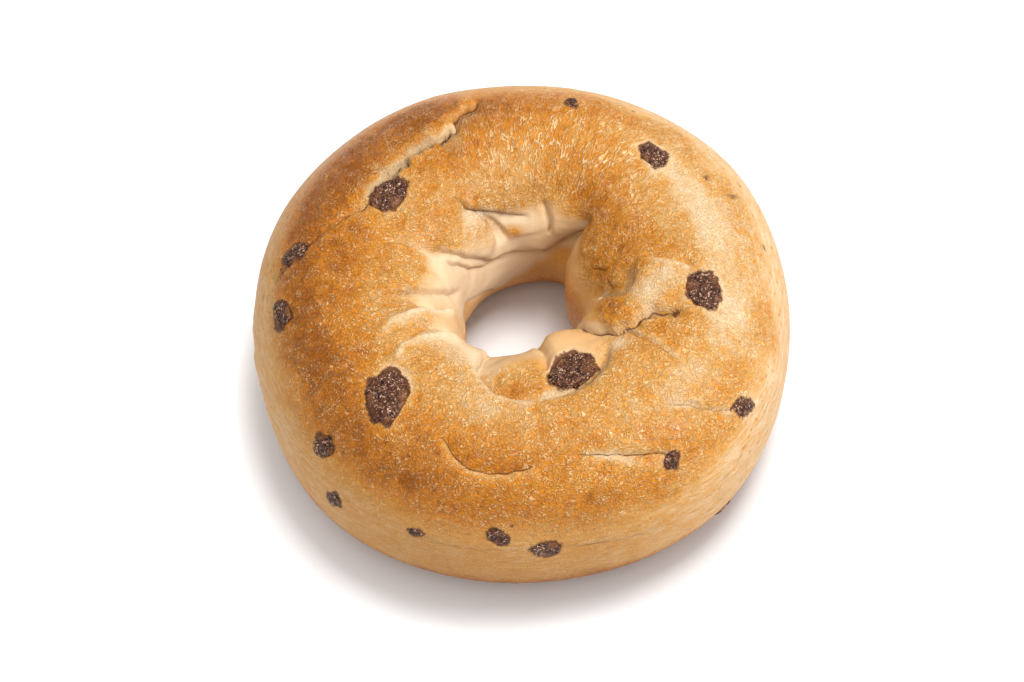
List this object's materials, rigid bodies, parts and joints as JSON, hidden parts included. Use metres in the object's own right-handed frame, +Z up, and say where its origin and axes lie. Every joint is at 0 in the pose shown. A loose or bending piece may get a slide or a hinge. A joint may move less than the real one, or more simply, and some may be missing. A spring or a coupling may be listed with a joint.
{
  "type": "raisin bagel",
  "caption": "Ring of baked dough with a flat base, a golden wrinkled crown, folds gathered round its hole, and raisins set in the crust.",
  "frame": {"origin": "on the surface that the bagel lies on, under the middle of its outline", "axes": "+Z up through the hole, +X to the right and +Y to the back, as seen from the front"},
  "size_m": [0.1086, 0.108, 0.0433],
  "materials": {
    "baked_crust": "satin baked crust",
    "raisin_skin": "satin wrinkled skin"
  },
  "bodies": {
    "root": {"dough": "baked_crust", "raisin_01": "raisin_skin", "raisin_02": "raisin_skin", "raisin_03": "raisin_skin", "raisin_04": "raisin_skin", "raisin_05": "raisin_skin", "raisin_06": "raisin_skin", "raisin_07": "raisin_skin", "raisin_08": "raisin_skin", "raisin_09": "raisin_skin", "raisin_10": "raisin_skin", "raisin_11": "raisin_skin", "raisin_12": "raisin_skin", "raisin_13": "raisin_skin", "raisin_14": "raisin_skin", "raisin_15": "raisin_skin", "raisin_16": "raisin_skin", "raisin_17": "raisin_skin", "raisin_18": "raisin_skin", "raisin_19": "raisin_skin", "raisin_20": "raisin_skin", "raisin_21": "raisin_skin", "raisin_22": "raisin_skin"}
  },
  "joints": []
}
